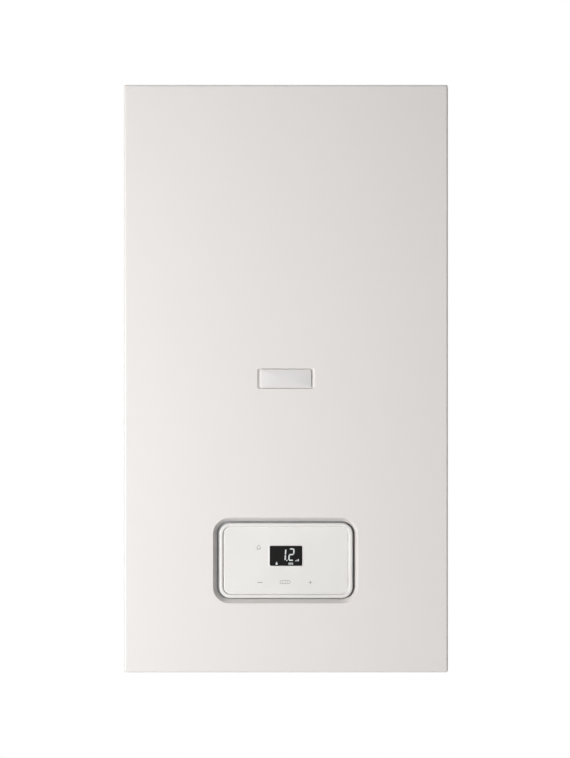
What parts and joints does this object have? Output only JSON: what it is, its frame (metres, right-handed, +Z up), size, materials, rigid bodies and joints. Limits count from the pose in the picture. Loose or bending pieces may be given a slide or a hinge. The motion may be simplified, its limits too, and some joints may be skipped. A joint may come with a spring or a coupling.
{
  "type": "gas boiler",
  "caption": "Wall-hung condensing combination boiler with a removable pale front cover, a recessed control panel with a small display, a roof flue collar and water and gas connections underneath.",
  "frame": {"origin": "centre of the casing's rear face, on the wall plane, halfway between its top and bottom edges", "axes": "+X to the right as seen from the front, +Y back into the wall, +Z up"},
  "size_m": [0.408, 0.31, 0.7417],
  "materials": {
    "casing_paint": "satin warm white powder coat",
    "frame_steel": "galvanised",
    "fascia_plastic": "fine satin",
    "badge_plastic": "bare",
    "display_glass": "dark gloss",
    "black_plastic": "moulded",
    "grey_plastic": "moulded",
    "white_plastic": "moulded",
    "red_plastic": "moulded",
    "circuit_green": "lacquered",
    "stainless": "drawn",
    "cast_aluminium": "die-cast",
    "copper": "drawn copper",
    "brass": "machined",
    "rubber": "matt",
    "vessel_paint": "grey paint",
    "ceramic": "glazed"
  },
  "bodies": {
    "frame": {"left_side_panel": "casing_paint", "right_side_panel": "casing_paint", "back_panel": "frame_steel", "hanging_rail": "frame_steel", "top_plate": "casing_paint", "bottom_plate": "frame_steel", "lower_crossbar": "frame_steel", "cover_screw": "stainless", "cover_seal": "rubber", "heat_exchanger_shell": "black_plastic", "exchanger_coil": "stainless", "burner_tube": "stainless", "door_gasket": "rubber", "burner_door": "cast_aluminium", "ignition_electrode": "ceramic", "ignition_transformer": "black_plastic", "ignition_lead": "red_plastic", "fan_housing": "cast_aluminium", "fan_motor": "black_plastic", "mixing_tube": "black_plastic", "mixture_elbow": "cast_aluminium", "gas_valve_body": "cast_aluminium", "gas_pipe": "copper", "gas_feed_pipe": "stainless", "flue_duct": "white_plastic", "flue_collar": "black_plastic", "exchanger_bracket": "frame_steel", "expansion_vessel": "vessel_paint", "vessel_hose": "rubber", "return_block": "black_plastic", "flow_block": "black_plastic", "diverter_motor": "grey_plastic", "pump_volute": "black_plastic", "pump_motor": "grey_plastic", "plate_exchanger": "stainless", "flow_pipe": "copper", "return_pipe": "copper", "hot_water_pipe": "copper", "cold_water_pipe": "copper", "heating_flow_stub": "brass", "hot_water_stub": "brass", "gas_stub": "brass", "cold_water_stub": "brass", "heating_return_stub": "brass", "condensate_trap": "grey_plastic", "condensate_hose": "rubber", "wiring_loom": "rubber"},
    "cover": {"front_cover": "casing_paint", "badge_plate": "badge_plastic"},
    "electronics": {"control_box": "grey_plastic", "control_box_lid": "grey_plastic", "control_fascia": "fascia_plastic", "display_window": "display_glass", "display_board": "circuit_green", "main_board": "circuit_green"},
    "fan_rotor": {"fan_impeller": "grey_plastic"},
    "wet_rotor": {"pump_rotor": "stainless"},
    "diverter": {"diverter_stem": "brass"},
    "relief": {"relief_cap": "red_plastic"},
    "filling": {"filling_tap": "black_plastic"}
  },
  "joints": [
    {"name": "cover_pull", "type": "slide", "parent": "frame", "child": "cover", "axis": [0, -1, 0], "range_m": [0, 0.45]},
    {"name": "control_box_tilt", "type": "hinge", "parent": "frame", "child": "electronics", "pos_m": [0, -0.28, -0.339], "axis": [1, 0, 0], "range_deg": [0, 90]},
    {"name": "fan_spin", "type": "hinge", "parent": "frame", "child": "fan_rotor", "pos_m": [-0.078, -0.237, -0.052], "axis": [0, -1, 0], "continuous": true},
    {"name": "pump_spin", "type": "hinge", "parent": "frame", "child": "wet_rotor", "pos_m": [0.115, -0.1, -0.235], "axis": [0, -1, 0], "continuous": true},
    {"name": "diverter_lift", "type": "slide", "parent": "frame", "child": "diverter", "axis": [0, 0, 1], "range_m": [0, 0.008]},
    {"name": "relief_cap_turn", "type": "hinge", "parent": "frame", "child": "relief", "pos_m": [-0.13, -0.166, -0.302], "axis": [0, -1, 0], "range_deg": [0, 90]},
    {"name": "filling_tap_turn", "type": "hinge", "parent": "frame", "child": "filling", "pos_m": [0.0975, -0.115, -0.34], "axis": [0, 0, 1], "range_deg": [0, 90]}
  ],
  "couplings": [
    {"joint": "control_box_tilt", "follows": "cover_pull", "rad_per_m": 3.48}
  ]
}
